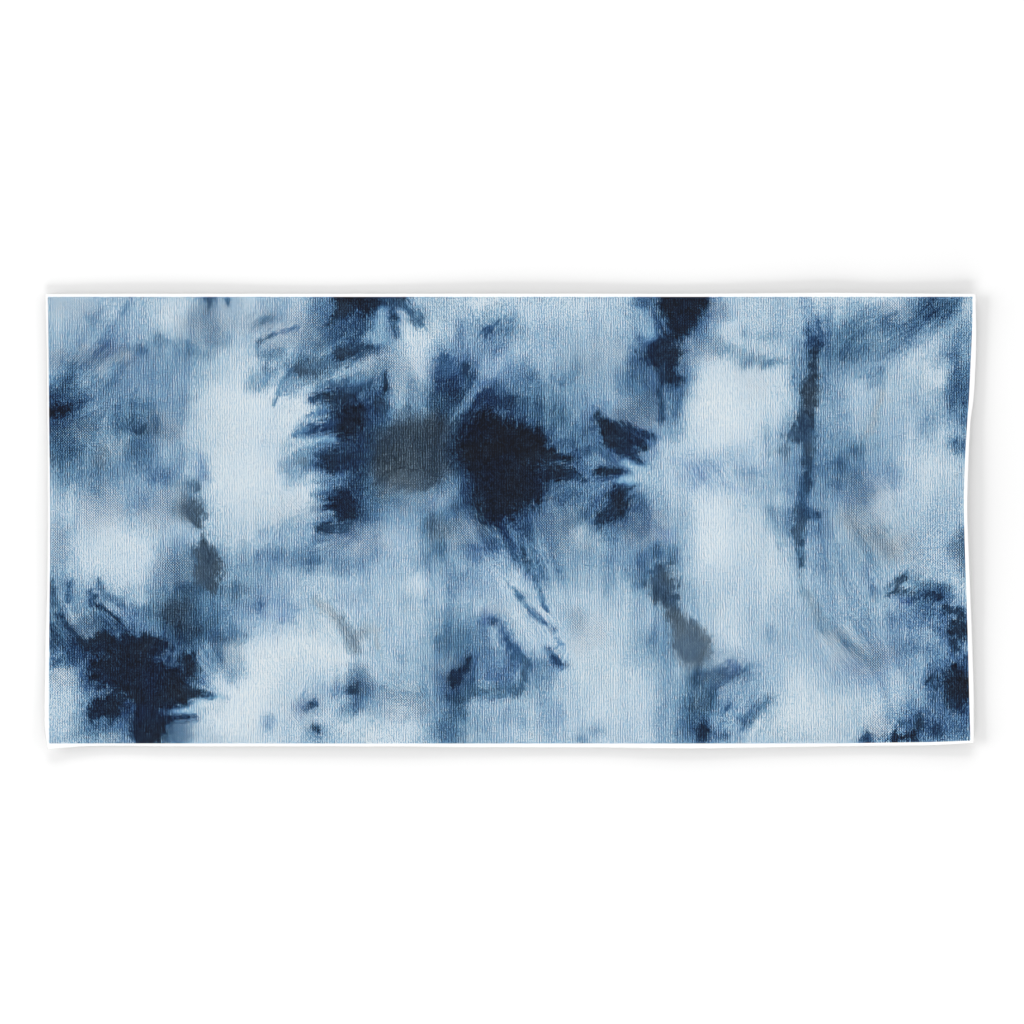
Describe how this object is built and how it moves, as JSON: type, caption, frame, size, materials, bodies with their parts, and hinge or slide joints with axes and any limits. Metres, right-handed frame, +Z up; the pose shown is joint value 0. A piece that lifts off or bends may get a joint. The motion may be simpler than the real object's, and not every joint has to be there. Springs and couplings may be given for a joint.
{
  "type": "beach towel",
  "caption": "Flat rectangular beach towel of printed cotton velour, blue tie-dye face with a narrow white edge, laid out on the floor.",
  "frame": {"origin": "middle of the towel's box, on the floor that it lies on", "axes": "+X along the towel's length, +Y across its width, +Z up from the floor, out of the printed face"},
  "size_m": [1.8378, 0.9006, 0.0097],
  "materials": {
    "printed_velour": "sheared cotton velour, printed, matt"
  },
  "bodies": {
    "root": {"towel": "printed_velour"}
  },
  "joints": []
}
